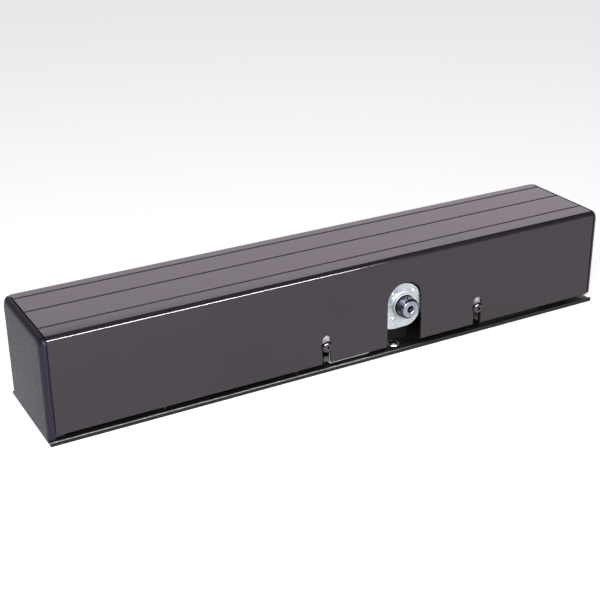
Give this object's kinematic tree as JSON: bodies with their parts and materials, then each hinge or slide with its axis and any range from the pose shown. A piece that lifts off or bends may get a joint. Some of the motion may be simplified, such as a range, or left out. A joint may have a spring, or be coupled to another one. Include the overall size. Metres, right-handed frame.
{
  "type": "swing door operator",
  "caption": "Long header box with a serrated output spindle in a notch, driving a swing door by worm gearmotor and closing it by a spring and rack.",
  "frame": {"origin": "middle of the back plate's mounting face, under the middle of the cover", "axes": "+X along the header, away from the controller end; -Y out of the front, where the spindle is; +Z away from the mounting wall"},
  "size_m": [0.7123, 0.138, 0.119],
  "materials": {
    "cover_anodised": "dark bronze anodised, satin",
    "cap_plastic": "moulded, fine grain, satin",
    "plate_black": "black powder coat",
    "bracket_zinc": "zinc plated sheet",
    "bracket_black": "black powder coat",
    "screw_black": "black oxide, glossy",
    "zinc_bright": "bright zinc plate",
    "spindle_steel": "dark phosphated steel",
    "bearing_steel": "ground and polished",
    "cast_grey": "die cast, matt",
    "bronze": "machined bronze",
    "machined_steel": "machined",
    "screw_zinc": "zinc plated",
    "spring_steel": "oiled spring steel",
    "tube_steel": "dark grey paint",
    "motor_paint": "dark paint, satin",
    "magnet": "sintered ferrite",
    "brush_carbon": "pressed carbon",
    "lamination": "stacked sheets",
    "copper": "copper",
    "plastic_black": "moulded",
    "rocker_red": "moulded, glossy",
    "pcb_green": "solder mask",
    "capacitor_sleeve": "shrink sleeve",
    "relay_blue": "moulded",
    "terminal_green": "moulded",
    "aluminium_bare": "extruded",
    "coil_tape": "wrapped tape",
    "terminal_ivory": "moulded",
    "brass": "turned brass",
    "cable_black": "extruded jacket",
    "cable_grey": "extruded jacket"
  },
  "bodies": {
    "base": {"back_plate": "plate_black", "cover_bracket_left": "bracket_zinc", "cover_bracket_right": "bracket_black", "bracket_ear_right": "bracket_zinc", "cover_screws": "screw_black", "output_flange": "bracket_black", "seal_retainer": "zinc_bright", "retainer_screws": "screw_zinc", "flange_screws": "screw_zinc", "front_bearing": "bearing_steel", "gearbox_housing": "cast_grey", "gearbox_foot": "bracket_black", "worm_bearings": "bearing_steel", "worm_end_cover": "plastic_black", "piston_housing": "cast_grey", "rear_bearing": "bearing_steel", "rear_bearing_carrier": "machined_steel", "carrier_screws": "screw_zinc", "housing_screws": "screw_black", "return_spring": "spring_steel", "spring_tube": "tube_steel", "spring_end_plug": "machined_steel", "spring_seat": "machined_steel", "preload_screw": "screw_zinc", "piston_end_cap": "cast_grey", "motor_front_bell": "cast_grey", "motor_can": "motor_paint", "motor_magnets": "magnet", "motor_rear_cap": "plastic_black", "motor_brushes": "brush_carbon", "encoder_board": "pcb_green", "motor_bracket": "bracket_zinc", "controller_board": "pcb_green", "board_standoffs": "brass", "capacitors": "capacitor_sleeve", "relays": "relay_blue", "terminal_strips": "terminal_green", "heat_sink": "aluminium_bare", "transformer_core": "lamination", "transformer_coil": "coil_tape", "transformer_screws": "screw_zinc", "mains_terminal_block": "terminal_ivory", "earth_stud": "brass", "motor_cable": "cable_black", "encoder_cable": "cable_grey", "supply_cable": "cable_black"},
    "spindle": {"output_spindle": "spindle_steel", "worm_wheel": "bronze", "spindle_pinion": "machined_steel", "drive_keys": "machined_steel"},
    "worm_rotor": {"worm_shaft": "machined_steel", "armature": "lamination", "commutator": "copper", "encoder_disc": "aluminium_bare"},
    "piston": {"rack_piston": "machined_steel"},
    "cover": {"cover": "cover_anodised", "end_cap_left": "cap_plastic", "end_cap_right": "cap_plastic", "mode_switch_body": "plastic_black"},
    "rocker": {"mode_rocker": "rocker_red"}
  },
  "joints": [
    {"name": "worm_turn", "type": "hinge", "parent": "base", "child": "worm_rotor", "pos_m": [0.073, -0.031, 0.0875], "axis": [-1, 0, 0], "range_deg": [0, 1320], "stiffness_Nm_per_rad": 0.0194, "springref_deg": -1350.46},
    {"name": "spindle_turn", "type": "hinge", "parent": "base", "child": "spindle", "pos_m": [0.073, 0, 0.0565], "axis": [0, 1, 0], "range_deg": [0, 120]},
    {"name": "piston_slide", "type": "slide", "parent": "base", "child": "piston", "axis": [-1, 0, 0], "range_m": [0, 0.02933], "deforming": ["return_spring"]},
    {"name": "cover_lift", "type": "slide", "parent": "base", "child": "cover", "axis": [0, 0, 1], "range_m": [0, 0.14]},
    {"name": "mode_rocker_tilt", "type": "hinge", "parent": "cover", "child": "rocker", "pos_m": [0.351, 0.022, 0.046], "axis": [0, 1, 0], "range_deg": [-12, 12]}
  ],
  "couplings": [
    {"joint": "spindle_turn", "follows": "worm_turn", "ratio": 0.090909},
    {"joint": "piston_slide", "follows": "worm_turn", "m_per_rad": 0.0012727}
  ]
}
